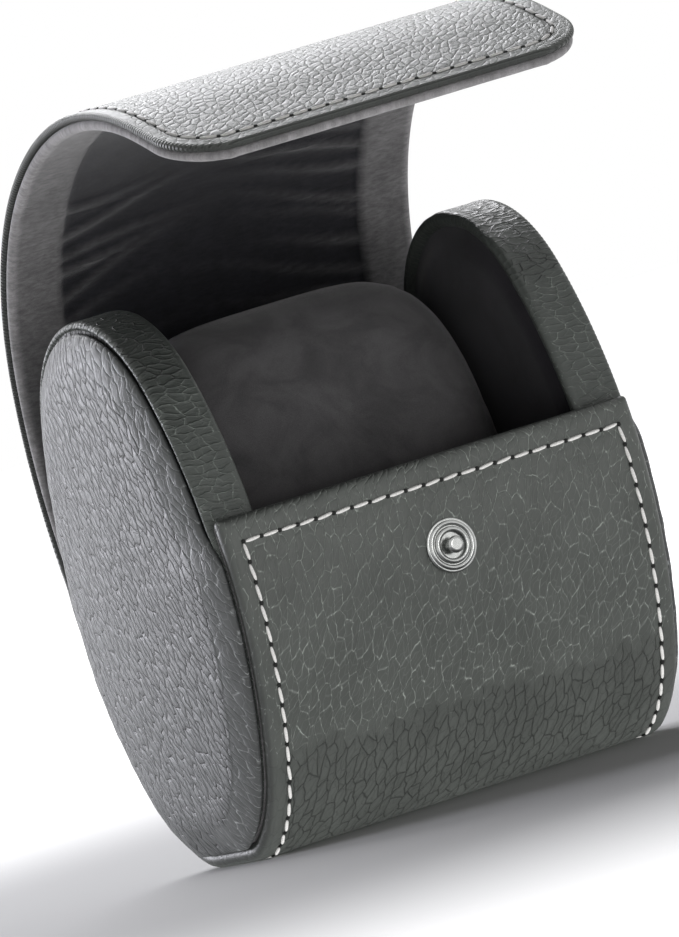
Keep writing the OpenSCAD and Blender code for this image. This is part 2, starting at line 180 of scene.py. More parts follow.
def oval_at(a, t):
    """Point and outward normal of the oval at an angle of its normal, at an offset; the base is flat."""
    side = 1 if math.cos(a) >= 0 else -1
    rise = 1 if math.sin(a) >= 0 else -1
    f = math.asin(min(1.0, abs(math.sin(a))))
    if f < JOIN_A:
        y, z = (SIDE_R + t) * math.cos(f) - SIDE_Y, (SIDE_R + t) * math.sin(f)
    else:
        y, z = (END_R + t) * math.cos(f), END_Z + (END_R + t) * math.sin(f)
    return side * y, max(rise * z, -HALF_H + BASE_PRESS - t)


# ---- meshes

def write_values(mesh, key, values):
    """One number for each point of a mesh, under a name that materials read."""
    attribute = mesh.attributes.new(key, "FLOAT", "POINT")
    attribute.data.foreach_set("value", np.asarray(values, np.float32))


def in_scene(name, data):
    """A new object of this mesh, lamp or camera, put in the scene."""
    obj = bpy.data.objects.new(name, data)
    bpy.context.scene.collection.objects.link(obj)
    return obj


def finished(name, points, faces, material, uv=None, values=None, sharp=()):
    """A smooth-shaded object at the origin from points in millimetres from the oval's middle."""
    placed = (np.asarray(points, float) + [0, 0, CENTRE_Z]) * MM
    mesh = bpy.data.meshes.new(name)
    mesh.from_pydata(placed.tolist(), [], faces)
    mesh.update()
    mesh.shade_smooth()
    if uv is not None:
        corner = np.zeros(len(mesh.loops), np.int32)
        mesh.loops.foreach_get("vertex_index", corner)
        layer = mesh.uv_layers.new(name="surface")
        layer.data.foreach_set("uv", np.asarray(uv, np.float32)[corner].ravel())
    for key, value in (values or {}).items():
        write_values(mesh, key, value)
    if sharp:
        marked = {tuple(sorted(e)) for e in sharp}
        for edge in mesh.edges:
            if tuple(sorted(edge.vertices)) in marked:
                edge.use_edge_sharp = True
    obj = in_scene(name, mesh)
    mesh.materials.append(material)
    return obj


def ripple(x, y, scale, shift=0.0):
    """Smooth noise from -1 to 1 at a place, with a wavelength of about scale."""
    return noise.noise(Vector((x / scale + shift, y / scale - shift, shift)))


def ripples(x, y, scale, shift=0.0):
    flat = [ripple(a, b, scale, shift) for a, b in zip(np.ravel(x), np.ravel(y))]
    return np.array(flat).reshape(np.shape(x))


def smooth_step(low, high, v):
    r = np.clip((v - low) / (high - low), 0, 1)
    return r * r * (3 - 2 * r)


class Plan:
    """Outline of a layer of the strip, laid flat: across by along, with round corners at the flap."""

    def __init__(self, inset, corner, top_corner):
        self.half_w = HALF_W - inset
        self.top = inset
        self.tip = line.length - inset
        self.corner = corner - inset
        self.top_corner = top_corner

    def half_at(self, s):
        """Half the width at a distance along."""
        down = np.clip((s - self.tip + self.corner) / self.corner, 0, 1)
        up = np.clip((self.top + self.top_corner - s) / self.top_corner, 0, 1)
        return (self.half_w
                - self.corner * (1 - np.sqrt(1 - down ** 2))
                - self.top_corner * (1 - np.sqrt(1 - up ** 2)))

    def to_edge(self, x, s):
        """Distance in from the outline."""
        def corner(r, side, end):
            inside = np.minimum(side, end)
            reach = np.hypot(np.maximum(r - side, 0), np.maximum(r - end, 0))
            return np.where((side < r) & (end < r), r - reach, inside)
        side = self.half_w - np.abs(x)
        tip = corner(self.corner, side, self.tip - s)
        top = corner(self.top_corner, side, s - self.top)
        return np.maximum(np.minimum(tip, top), 0)


EDGE_STEPS = [0, 0.06, 0.2, 0.42, 0.7, 1.0]
GRID_STEP = 0.8
EDGE_GRID_STEP = 0.42
EDGE_MARGIN = 7.0


def spread(low, high, low_edge, high_edge):
    """Distances from low to high, a grid step apart, with close ones where an edge is rounded."""
    inner = list(np.linspace(low, high, max(2, round((high - low) / GRID_STEP)) + 1))
    if low_edge:
        inner = [low + low_edge * e for e in EDGE_STEPS] + [v for v in inner if v > low + low_edge * 1.3]
    if high_edge:
        inner = [v for v in inner if v < high - high_edge * 1.3] + [
            high - high_edge * e for e in reversed(EDGE_STEPS)]
    return np.array(inner)


def grain_run(s):
    """Distance along as the grain sees it: its cells are shorter on the lid."""
    start, full = line.fold[0], line.fold[0] + 25
    past = np.clip(s, start, full) - start
    return s + 0.8 * (past ** 2 / (2 * (full - start)) + np.maximum(s - full, 0))


def shell_faces(index, other, low_free, high_free):
    """Faces of two grids of points that meet at the outline, and the sharp edges where they are cut off."""
    faces, sharp = [], []

    def add(corners):
        corners = tuple(dict.fromkeys(int(v) for v in corners))
        if len(corners) > 2:
            faces.append(corners)

    rows, columns = index.shape
    for j in range(rows - 1):
        for i in range(columns - 1):
            add((index[j, i], index[j, i + 1], index[j + 1, i + 1], index[j + 1, i]))
            add((other[j, i], other[j + 1, i], other[j + 1, i + 1], other[j, i + 1]))
    for j, free, way in ((0, low_free, 1), (rows - 1, high_free, -1)):
        for i in [] if free else range(columns - 1):
            add((index[j, i + 1], index[j, i], other[j, i], other[j, i + 1])[::way])
            sharp += [(int(grid[j, i]), int(grid[j, i + 1])) for grid in (index, other)]
    return faces, sharp


SMOOTH_EDGE = (2.9, 1.9)
LID_PRESS = 0.55
CUT_EDGE_DARKENING = 0.7
# Painted highlight: creases are painted pale, with glints, from the front panel's top down to here.
PAINTED_GLINTS_TO = (42, 28)


def layer_piece(name, plan, s_low, s_high, t_in, t_out, material, relief_out=None, relief_in=None,
                more_values=None):
    """A length of one layer of the strip, rounded at its outline, closed at both ends."""
    low_free, high_free = s_low <= plan.top + 1e-6, s_high >= plan.tip - 1e-6
    ends = np.array([s_low, s_high])
    reach = np.max(t_out(ends) - t_in(ends)) / 2
    rows = spread(max(s_low, plan.top), min(s_high, plan.tip),
                  reach if low_free else 0, reach if high_free else 0)
    half = plan.half_at(rows)
    edge = np.unique(np.concatenate([[reach * e for e in EDGE_STEPS],
                                     np.arange(reach * 1.4, EDGE_MARGIN, EDGE_GRID_STEP)]))
    inner = np.linspace(-1, 1, round(2 * (plan.half_w - EDGE_MARGIN) / GRID_STEP) + 1)
    left = -half[:, None] + edge[None, :]
    middle = inner[None, :] * (half - EDGE_MARGIN)[:, None]
    x = np.hstack([left, middle, -left[:, ::-1]])
    s = np.repeat(rows[:, None], x.shape[1], 1)
    d = plan.to_edge(x, s)
    low, high = t_in(s), t_out(s)
    r = (high - low) / 2
    bow = r - np.sqrt(np.maximum(r ** 2 - np.maximum(r - d, 0) ** 2, 0))
    top, bottom = high - bow, low + bow
    if relief_out:
        top = top + relief_out(x, s, d) * smooth_step(0, 0.8, d)
    if relief_in:
        bottom = bottom + relief_in(x, s, d) * smooth_step(0, 0.8, d)
    smoothed = smooth_step(*SMOOTH_EDGE, np.minimum(plan.half_at(s) - np.abs(x), plan.tip - s))
    smoothed = np.maximum(smoothed, LID_PRESS * smooth_step(line.fold[0], line.fold[1] + 6, s))
    around = np.sign(x) * np.where(d < r, (r - d) * 0.57, 0)
    points = np.vstack([np.stack([x, *line.place(s, t)], -1).reshape(-1, 3) for t in (top, bottom)])
    uv = np.tile(np.stack([x + around, s], -1).reshape(-1, 2), (2, 1))
    press = np.tile(smoothed.ravel(), 2)
    # Darker on the cut edge; on the underside this is painted shade in the gap between leather and lining.
    cut = CUT_EDGE_DARKENING * np.concatenate([smooth_step(0.5, 0.0, d / r).ravel(), np.ones(d.size)])
    index = np.arange(x.size).reshape(x.shape)
    other = np.where(d < 1e-5, index, index + index.size)
    faces, sharp = shell_faces(index, other, low_free, high_free)
    # Painted highlight: pale creases with glints on the upper front panel.
    painted_glint = smooth_step(*PAINTED_GLINTS_TO, uv[:, 1])
    turned = smooth_step(reach, 0.3 * reach, np.tile(d.ravel(), 2))
    ribs = turned * smooth_step(line.fold[0], line.fold[0] + 12, uv[:, 1])
    values = {"press": press, "cut": cut, "painted_glint": painted_glint, "ribs": ribs}
    if more_values:
        values.update(more_values(*uv.T))
    if relief_out:
        uv[:, 1] = grain_run(uv[:, 1])
    obj = finished(name, points, faces, material, uv, values, sharp)
    tidy_mesh(obj)
    return obj


def tidy_mesh(obj):
    """Loose points go, and all faces point out of the closed shape."""
    work = bmesh.new()
    work.from_mesh(obj.data)
    bmesh.ops.delete(work, geom=[v for v in work.verts if not v.link_faces], context="VERTS")
    bmesh.ops.recalc_face_normals(work, faces=work.faces)
    work.to_mesh(obj.data)
    work.free()


# ---- node trees

class Nodes:
    """Adds nodes to a tree in few words: values are set, and sockets are linked."""

    def __init__(self, tree):
        self.tree = tree

    def add(self, kind, inputs=None, out=0, **settings):
        node = self.tree.nodes.new(kind)
        for key, value in settings.items():
            setattr(node, key, value)
        self.fill(node, inputs or {})
        return node if out is None else node.outputs[out]

    def fill(self, node, inputs):
        for key, value in inputs.items():
            socket = node.inputs[key]
            if isinstance(value, bpy.types.NodeSocket):
                self.tree.links.new(value, socket)
            else:
                socket.default_value = value

    def math(self, operation, a, b=0.0, c=0.0):
        return self.add("ShaderNodeMath", {0: a, 1: b, 2: c}, operation=operation)

    def times(self, a, b, plus=0.0):
        return self.math("MULTIPLY_ADD", a, b, plus)

    def ramp(self, value, low, high, to_low=0.0, to_high=1.0):
        return self.add("ShaderNodeMapRange", {
            "Value": value, "From Min": low, "From Max": high, "To Min": to_low, "To Max": to_high,
        }, interpolation_type="SMOOTHSTEP")

    def mix(self, factor, a, b):
        return self.add("ShaderNodeMix", {0: factor, 6: a, 7: b}, 2, data_type="RGBA")

    def vector(self, **parts):
        return self.add("ShaderNodeCombineXYZ", parts)

    def scaled(self, vector, scale):
        return self.add("ShaderNodeVectorMath", {0: vector, "Scale": scale}, operation="SCALE")

    def attribute(self, key):
        return self.add("ShaderNodeAttribute", out="Fac", attribute_name=key)

    def bump(self, height, strength, depth):
        """Relief of a depth in millimetres."""
        return self.add("ShaderNodeBump", {"Height": height, "Strength": strength, "Distance": depth * MM})

    def noise(self, vector, scale, detail=2.0, roughness=0.5, out=0, distortion=0.0):
        return self.add("ShaderNodeTexNoise", {
            "Vector": vector, "Scale": scale, "Detail": detail, "Roughness": roughness,
            "Distortion": distortion,
        }, out)


def new_material(name):
    material = bpy.data.materials.new(name)
    material.use_nodes = True
    tree = material.node_tree
    shader = tree.nodes["Principled BSDF"]
    return material, Nodes(tree), shader


def surface_mm(n):
    """The piece's own flat coordinates, which are in millimetres."""
    return n.add("ShaderNodeUVMap", uv_map="surface")


def object_mm(n):
    return n.scaled(n.add("ShaderNodeTexCoord", out="Object"), 1 / MM)


def swayed(n, place, scale, reach):
    """The place moved about by noise, by up to about half the reach each way."""
    sway = n.noise(place, scale, 2, 0.5, "Color")
    sway = n.add("ShaderNodeVectorMath", {0: sway, 1: (0.5, 0.5, 0.5)}, operation="SUBTRACT")
    return n.add("ShaderNodeVectorMath", {0: sway, 1: (*reach, 0), 2: place}, operation="MULTIPLY_ADD")


LOOSE_CELLS = 0.7
PRESSED_FLAT = 0.75


def leather(name, tint, cell, depth, roughness, crease_shade, pale=0.85, turn=0.0):
    """Pebbled hide: long cells of a width and a length in mm, in shifted rows, parted by narrow creases.

    The creases are painted darker than the cells, as painted shade. Where the attribute that marks
    painted glints is 1, they are painted paler instead, as painted highlight, with small painted glints
    where two creases cross, and the relief is lower. The grain fades where "press" is 1; where "cut" is 1
    the hide is painted darker, on its cut edge and as painted shade under it and in the seam groove;
    and "ribs" are the fine teeth of a turned edge.
    """
    material, n, shader = new_material(name)
    place = swayed(n, surface_mm(n), 0.2, (1.7, 2.4))
    place = swayed(n, place, 0.55, (0.5 * min(cell), 0.5 * min(cell)))
    turned = n.add("ShaderNodeMapping", {"Vector": place, "Rotation": (0, 0, math.radians(turn))})
    flat = n.add("ShaderNodeSeparateXYZ", {"Vector": turned}, None).outputs

    def cells(width, length, loose, shift=0.5, kind="DISTANCE_TO_EDGE", out=0):
        across = n.times(flat["X"], 1 / width)
        along = n.times(across, shift, n.times(flat["Y"], 1 / length))
        return n.add("ShaderNodeTexVoronoi", {
            "Vector": n.vector(X=across, Y=along), "Scale": 1.0, "Randomness": loose,
        }, out, feature=kind, voronoi_dimensions="2D")

    edge = cells(*cell, LOOSE_CELLS)
    crease = n.ramp(edge, 0.0, 0.065)
    rise = n.math("MINIMUM", n.times(edge, 2.8), 1.0)
    dome = n.math("SUBTRACT", 1.0, n.math("POWER", n.math("SUBTRACT", 1.0, rise), 2.2))
    fold = n.ramp(cells(cell[0] * 0.95, cell[1] * 0.42, 0.9, 1.3), 0.0, 0.09)
    tone = n.add("ShaderNodeSeparateColor", {"Color": cells(*cell, LOOSE_CELLS, kind="F1", out="Color")})
    pores = n.noise(place, 4.5, 3, 0.65)
    height = 0.0
    for part, share in ((dome, 0.45), (crease, 0.3), (fold, 0.17), (pores, 0.12)):
        height = n.times(part, share, height)
    keep = n.times(n.attribute("press"), -PRESSED_FLAT, 1.0)
    painted_glint = n.times(n.noise(place, 0.35), 1.0, n.math("SUBTRACT", n.attribute("painted_glint"), 0.4))
    painted_glint = n.ramp(painted_glint, 0.35, 0.75)
    height = n.times(height, n.times(keep, n.times(painted_glint, -0.4, 1.0)))
    along = n.add("ShaderNodeSeparateXYZ", {"Vector": surface_mm(n)}, "Y")
    teeth = n.math("SINE", n.times(along, 6.3))
    height = n.times(teeth, n.times(n.attribute("ribs"), 0.5), height)
    shade = n.ramp(n.noise(place, 0.09, 3, 0.55), 0.3, 0.7, 0.92, 1.08)
    shade = n.times(tone, 0.08, shade)
    # Crease colour: painted shade makes creases darker, and where glints are painted a painted highlight
    # makes them paler.
    change = n.ramp(painted_glint, 0.0, 1.0, crease_shade - 1, pale)
    # Painted glints where two creases cross.
    glint = n.times(n.math("SUBTRACT", 1.0, crease), n.math("SUBTRACT", 1.0, fold))
    low = n.math("SUBTRACT", 1.0, n.times(crease, n.ramp(fold, 0.0, 1.0, 0.65, 1.0)))
    low = n.times(low, n.times(keep, change))
    low = n.times(glint, n.times(painted_glint, 2.2), low)
    shade = n.times(shade, n.math("ADD", low, 1.0))
    # Painted darkening where "cut" is 1: the cut edge, and painted shade under the leather and at the seam
    # groove's floor.
    shade = n.times(shade, n.times(n.attribute("cut"), -0.8, 1.0))
    n.fill(shader, {
        "Base Color": n.scaled(tint, shade), "Normal": n.bump(height, 1.0, depth),
        "Roughness": n.ramp(n.noise(place, 1.2, 3, 0.6), 0.3, 0.7, roughness - 0.06, roughness + 0.08),
        "Specular IOR Level": 0.36,
    })
    return material


def suede(name, border, centre, sheen):
    """Napped lining: mottled, streaked across, darker in the middle field (partly painted shade), pale at its
    cut edge.
    """
    material, n, shader = new_material(name)
    place = surface_mm(n)
    streak = n.add("ShaderNodeVectorMath", {0: place, 1: (0.35, 1.0, 1)}, operation="MULTIPLY")
    nap = n.noise(streak, 1.6, 4, 0.7)
    fuzz = n.noise(place, 9.0, 3, 0.7)
    cloud = n.noise(place, 0.16, 3, 0.6)
    colour = n.mix(n.attribute("middle"), (*border, 1), (*centre, 1))
    shade = n.ramp(nap, 0.25, 0.75, 0.7, 1.32)
    shade = n.times(shade, n.ramp(cloud, 0.3, 0.7, 0.86, 1.14))
    shade = n.times(shade, n.ramp(fuzz, 0.25, 0.75, 0.84, 1.18))
    shade = n.times(shade, n.times(n.attribute("pale"), 0.8, 1.0))
    height = n.times(nap, 0.5, fuzz)
    n.fill(shader, {
        "Base Color": n.scaled(colour, shade), "Normal": n.bump(height, 0.55, 0.12), "Roughness": 0.95,
        "Specular IOR Level": 0.15, "Sheen Weight": sheen, "Sheen Roughness": 0.45,
    })
    return material


def velvet(name, colour, sheen):
    """Short pile with brushed clouds; it brightens where it turns away."""
    material, n, shader = new_material(name)
    place = object_mm(n)
    cloud = n.noise(place, 0.11, 4, 0.6, distortion=0.6)
    pile = n.noise(place, 6.5, 3, 0.75)
    shade = n.ramp(cloud, 0.3, 0.7, 0.78, 1.22)
    shade = n.times(shade, n.ramp(pile, 0.25, 0.75, 0.84, 1.16))
    n.fill(shader, {
        "Base Color": n.scaled(colour, shade), "Normal": n.bump(pile, 0.5, 0.15), "Roughness": 0.9,
        "Specular IOR Level": 0.12, "Sheen Weight": sheen, "Sheen Roughness": 0.35,
    })
    return material


def plain_grained(name, colour, scale, roughness, spread_of=0.12, metallic=0.0):
    """A finish with a fine even grain, for thread, board, foam and metal."""
    material, n, shader = new_material(name)
    place = object_mm(n)
    grain = n.noise(place, scale, 4, 0.6)
    shade = n.ramp(grain, 0.25, 0.75, 1 - spread_of, 1 + spread_of)
    n.fill(shader, {
        "Base Color": n.scaled(colour, shade), "Normal": n.bump(grain, 0.4, 0.05), "Metallic": metallic,
        "Roughness": n.ramp(grain, 0.3, 0.7, roughness * 0.85, roughness * 1.15),
    })
    return material


# The rim and face tints are darker copies of the hide's tint, of the same leather: painted shade.
HIDE_TINT = (0.08, 0.087, 0.08)
RIM_TINT = (0.06, 0.067, 0.061)
FACE_TINT = (0.066, 0.069, 0.069)
hide = leather("pebbled_hide", HIDE_TINT, (1.7, 3.0), depth=0.26, roughness=0.42, crease_shade=0.5)
face_hide = leather("face_hide", FACE_TINT, (1.35, 3.4), turn=38, depth=0.22, roughness=0.46, crease_shade=0.08)
rim_hide = leather("rim_hide", RIM_TINT, (2.7, 1.3), turn=-12, depth=0.28, roughness=0.38, crease_shade=0.3, pale=1.1)
# The middle field's colour is a darker suede, partly painted shade inside the lid.
lining_suede = suede("lining_suede", (0.11, 0.107, 0.109), (0.012, 0.012, 0.015), 0.25)
grey_velvet = velvet("grey_velvet", (0.112, 0.109, 0.112), 0.4)
black_velvet = velvet("black_velvet", (0.026, 0.024, 0.028), 0.4)
thread = plain_grained("thread", (0.78, 0.77, 0.75), 5.0, 0.6, 0.16)
# Near-black blobs at the needle holes: painted shade of the holes.
painted_hole_shade = plain_grained("painted_hole_shade", (0.01, 0.011, 0.01), 4.0, 0.9, 0.3)
nickel = plain_grained("nickel", (0.4, 0.41, 0.4), 1.2, 0.22, 0.05, metallic=1.0)
board = plain_grained("fibre_board", (0.28, 0.22, 0.15), 1.5, 0.85, 0.25)
foam = plain_grained("open_foam", (0.7, 0.66, 0.56), 2.5, 0.95, 0.2)

# ---- leather and lining of the wrap and the lid

STITCH_SIDE = 3.0
STITCH_TOP = 3.9
STITCH_TIP = 3.3
STITCH_PITCH = 3.0
leather_plan = Plan(0.0, 10.0, 0.7)
lining_plan = Plan(0.3, 10.0, 0.8)
FIELD_HALF_W = 25.6
LID_HIDE_T = 1.3
HIDE_IN = 0.1
LAP = 0.05
LINING_SINK = 0.25


def leather_out(s):
    return WRAP_T - LID_GAP * smooth_step(line.fold[0] - 6, line.fold[0] + 2, s)


def leather_in(s):
    """The leather wraps the whole side of the case, and is a single layer on the lid."""
    single = leather_out(s) - LID_HIDE_T
    return HIDE_IN + (single - HIDE_IN) * smooth_step(line.fold[0] - 15, line.fold[0] - 5, s)


def lining_out(s):
    return leather_in(s) + LAP


def lining_in(s):
    return -LINING_SINK * smooth_step(line.fold[0], line.fold[0] + 8, s)


def stitch_track(x, s):
    """Distance from the line of stitches."""
    far_in = np.minimum(HALF_W - np.abs(x) - STITCH_SIDE, s - STITCH_TOP)
    r = leather_plan.corner
    along = s - (leather_plan.tip - r)
    reach = r - np.hypot(np.maximum(np.abs(x) - HALF_W + r, 0), np.maximum(along, 0))
    tip_in = reach - STITCH_SIDE - (STITCH_TIP - STITCH_SIDE) * np.clip(along / r, 0, 1)
    tip_in = np.where(np.abs(x) < HALF_W - r, leather_plan.tip - s - STITCH_TIP, tip_in)
    return np.abs(np.where(along > 0, np.minimum(far_in, tip_in), far_in))


GROOVE_DEPTH, GROOVE_HALF_W = 0.16, 0.6
HIDE_WAVE = 0.07


def leather_relief(x, s, d):
    """A shallow groove under the stitches, and slow waves."""
    groove = -GROOVE_DEPTH * np.exp(-(stitch_track(x, s) / GROOVE_HALF_W) ** 2)
    return groove + HIDE_WAVE * ripples(x, s, 9.0, 3.1)


random.seed(SEED)
PLEAT_PITCH = 4.2
PLEATS_A_SIDE = 9
PLEATS = [
    (line.fold[1] - 5 + PLEAT_PITCH * i + random.uniform(-1.2, 1.2), -side * random.uniform(0.12, 0.4),
     random.uniform(0.4, 1.0), side * (FIELD_HALF_W + 1), random.uniform(10, 20))
    for side in (-1, 1) for i in range(PLEATS_A_SIDE)
]
PLEAT_HALF_W = 0.7
PLEAT_HEIGHT = 0.85
FIELD_DEPTH = 0.5
LIP_HEIGHT = 0.12
SOCKET_ROOM = 0.7
SOCKET_ROOM_R = 4.2
SUEDE_WAVE = 0.06


def field_of(x, s):
    """1 in the middle field of the lining, 0 on its border, with a wavering line between them."""
    half = FIELD_HALF_W + 0.5 * ripples(s, 0 * s, 3.4, 6.1)
    field = smooth_step(half + 0.9, half - 0.3, np.abs(x))
    return field * smooth_step(line.length - 10.6, line.length - 11.8, s)


def pleats_at(x, s):
    """Height of the pleats where the lining is pushed together inside the bend."""
    high = np.zeros_like(x)
    for at, slope, strength, centre, width in PLEATS:
        off = s - at - slope * (x - centre) + 0.5 * np.sin(x / 5 + at)
        reach = np.exp(-((x - centre) / width) ** 2)
        high = np.maximum(high, strength * reach * np.exp(-(off / PLEAT_HALF_W) ** 2))
    return high * smooth_step(FIELD_HALF_W + 1.6, FIELD_HALF_W - 0.6, np.abs(x))


socket_middle = sum(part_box("snap_socket"), Vector()) / (2 * MM)
SOCKET_S = line.at[np.argmin(np.hypot(*(line.points - [socket_middle.y, socket_middle.z - CENTRE_Z]).T))]


def lining_relief(x, s, d):
    """The middle field lies deeper than the border, with pleats across it and room for the socket."""
    lip = np.exp(-((np.abs(x) - FIELD_HALF_W - 0.9) / 0.5) ** 2)
    room = smooth_step(SOCKET_ROOM_R, SOCKET_ROOM_R - 1, np.hypot(x, s - SOCKET_S))
    out = FIELD_DEPTH * field_of(x, s) - LIP_HEIGHT * lip - PLEAT_HEIGHT * pleats_at(x, s)
    return out + SOCKET_ROOM * room + SUEDE_WAVE * ripples(x, s, 4.0, 8.7)


def lining_values(x, s):
    """How far a point belongs to the darker middle field (partly painted shade), less on pleat ridges as a
    painted highlight, and to its pale edge.
    """
    return {"middle": field_of(x, s) * (1 - 0.6 * pleats_at(x, s)),
            "pale": smooth_step(1.7, 0.5, lining_plan.to_edge(x, s))}


def links_of_strip():
    """(suffix, low, high, body or pair of bodies, fold, reach of the bend) along the strip."""
    folds = line.fold
    back_low = folds[0] - 13
    middles = [(a + b) / 2 for a, b in zip(folds, folds[1:])]
    flap_low = folds[-1] + 11
    cuts = [back_low, *middles, flap_low]
    bodies = ["case", *LID_LINKS]
    parts = [("case", 0.0, back_low, "case", None, None)]
    for k, fold in enumerate(folds):
        reach = 0.96 * min(fold - cuts[k], cuts[k + 1] - fold)
        parts.append((f"fold_{k + 1}", cuts[k], cuts[k + 1], (bodies[k], bodies[k + 1]), fold, reach))
    parts.append(("flap", flap_low, line.length, "lid_flap", None, None))
    return parts


def carried(obj, body, fold):
    """Rides on one body; a piece at a fold keeps its place, baked into its mesh, and rides on none."""
    if fold is None:
        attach(obj, body)
    else:
        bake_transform(obj)


STOOD_FOR = {"case": "wrap", "fold_1": "lid_back", "fold_2": "lid_crown_1", "fold_3": "lid_crown_2",
             "fold_4": "lid_crown_3", "flap": "lid_flap"}

for suffix, low, high, body, fold, reach in links_of_strip():
    outer = layer_piece("leather_" + suffix, leather_plan, low, high, leather_in, leather_out, hide,
                        relief_out=leather_relief)
    inner = layer_piece("lining_" + suffix, lining_plan, low, high, lining_in, lining_out,
                        lining_suede, relief_in=lining_relief, more_values=lining_values)
    for obj in (outer, inner):
        carried(obj, body, fold)
    node = STOOD_FOR.get(suffix)
    if node:
        middle_layer = "_board" if node == "wrap" else "_filler"
        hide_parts(node + "_leather", node + middle_layer)
        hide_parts(node + "_lining")

# ---- thread

YAW_WANDER = 0.05
ROUTE_STEP = 0.4
THREAD_SIZES = {
    "Length": 2.6 * MM, "Width": 0.56 * MM, "Height": 0.52 * MM, "Slant": 0.08, "Hole": 0.7 * MM,
    "Seed": SEED, "Thread": thread, "Dark": painted_hole_shade,
}


def stitch_tree():
    """A stitch, or a near-black blob of painted shade at a needle hole, on each point; the points know which
    way is out and along.
    """
    tree = bpy.data.node_groups.new("stitches", "GeometryNodeTree")
    face = tree.interface
    face.new_socket("Geometry", in_out="INPUT", socket_type="NodeSocketGeometry")
    for name, kind in (("Length", "Float"), ("Width", "Float"), ("Height", "Float"), ("Slant", "Float"),
                       ("Hole", "Float"), ("Seed", "Int"), ("Thread", "Material"), ("Dark", "Material")):
        face.new_socket(name, in_out="INPUT", socket_type="NodeSocket" + kind)
    face.new_socket("Geometry", in_out="OUTPUT", socket_type="NodeSocketGeometry")
    n = Nodes(tree)
    given = n.add("NodeGroupInput", out=None).outputs
    up, along, hole_here = (
        n.add("GeometryNodeInputNamedAttribute", {"Name": key}, data_type=kind)
        for key, kind in (("up", "FLOAT_VECTOR"), ("along", "FLOAT_VECTOR"), ("hole", "FLOAT")))
    turn = n.add("FunctionNodeAlignRotationToVector", {"Vector": up}, axis="Z")
    turn = n.add("FunctionNodeAlignRotationToVector", {"Rotation": turn, "Vector": along},
                 axis="X", pivot_axis="Z")
    wander = n.add("FunctionNodeRandomValue", {"Seed": given["Seed"]}, None, data_type="FLOAT")
    for socket in wander.inputs:
        if socket.enabled and socket.name in ("Min", "Max"):
            socket.default_value = -YAW_WANDER if socket.name == "Min" else YAW_WANDER
    wander = next(o for o in wander.outputs if o.enabled)
    yaw = n.vector(Z=n.math("ADD", given["Slant"], wander))
    turn = n.add("FunctionNodeRotateRotation",
                 {"Rotation": turn, "Rotate By": n.add("FunctionNodeEulerToRotation", {"Euler": yaw})},
                 rotation_space="LOCAL")

    def placed(shape, here, material):
        laid = n.add("GeometryNodeInstanceOnPoints", {
            "Points": given["Geometry"], "Instance": shape, "Selection": here, "Rotation": turn})
        real = n.add("GeometryNodeRealizeInstances", {"Geometry": laid})
        return n.add("GeometryNodeSetMaterial", {"Geometry": real, "Material": material})

    def blunt_ball(segments, rings, length, width, height):
        """A ball drawn out to a bar with round ends."""
        ball = n.add("GeometryNodeMeshUVSphere", {"Segments": segments, "Rings": rings, "Radius": 0.5})
        ball = n.add("GeometryNodeTransform", {"Geometry": ball, "Rotation": (0, math.pi / 2, 0)})
        spot = n.add("ShaderNodeSeparateXYZ", {"Vector": n.add("GeometryNodeInputPosition")}, None).outputs
        reach = n.times(n.math("ABSOLUTE", spot["X"]), 2.0)
        reach = n.times(n.math("POWER", reach, 0.62), n.math("SIGN", spot["X"]))
        spread_out = n.vector(X=n.times(reach, 0.5), Y=spot["Y"], Z=spot["Z"])
        ball = n.add("GeometryNodeSetPosition", {"Geometry": ball, "Position": spread_out})
        size = n.vector(X=length, Y=width, Z=height)
        shaped = n.add("GeometryNodeTransform", {"Geometry": ball, "Scale": size})
        return n.add("GeometryNodeSetShadeSmooth", {"Geometry": shaped})

    bar = blunt_ball(8, 9, given["Length"], given["Width"], given["Height"])
    hole = blunt_ball(8, 4, given["Hole"], given["Hole"], n.times(given["Hole"], 0.5))
    joined = n.add("GeometryNodeJoinGeometry", {
        0: placed(bar, n.math("SUBTRACT", 1.0, hole_here), given["Thread"])})
    tree.links.new(placed(hole, hole_here, given["Dark"]), joined.node.inputs[0])
    out = n.add("NodeGroupOutput", out=None)
    tree.links.new(joined, out.inputs[0])
    return tree


STITCHES = stitch_tree()


def marked_points(name, points, ups, alongs, holes):
    """Loose points that carry what the stitches need."""
    mesh = bpy.data.meshes.new(name)
    mesh.from_pydata([tuple(p) for p in points], [], [])
    for key, rows in (("up", ups), ("along", alongs)):
        attribute = mesh.attributes.new(key, "FLOAT_VECTOR", "POINT")
        attribute.data.foreach_set("vector", np.asarray(rows, np.float32).ravel())
    write_values(mesh, "hole", holes)
    return in_scene(name, mesh)


def evaluated(obj):
    """The object's mesh with its modifiers carried out."""
    bpy.context.view_layer.update()
    depsgraph = bpy.context.evaluated_depsgraph_get()
    return bpy.data.meshes.new_from_object(obj.evaluated_get(depsgraph))


def grown(obj, tree, values, name):
    """The result of a node tree on an object as a plain mesh; the object itself goes."""
    modifier = obj.modifiers.new("nodes", "NODES")
    modifier.node_group = tree
    for item in tree.interface.items_tree:
        if item.item_type == "SOCKET" and item.in_out == "INPUT" and item.name in values:
            modifier[item.identifier] = values[item.name]
    mesh = evaluated(obj)
    mesh.name = name
    bpy.data.objects.remove(obj)
    return in_scene(name, mesh)


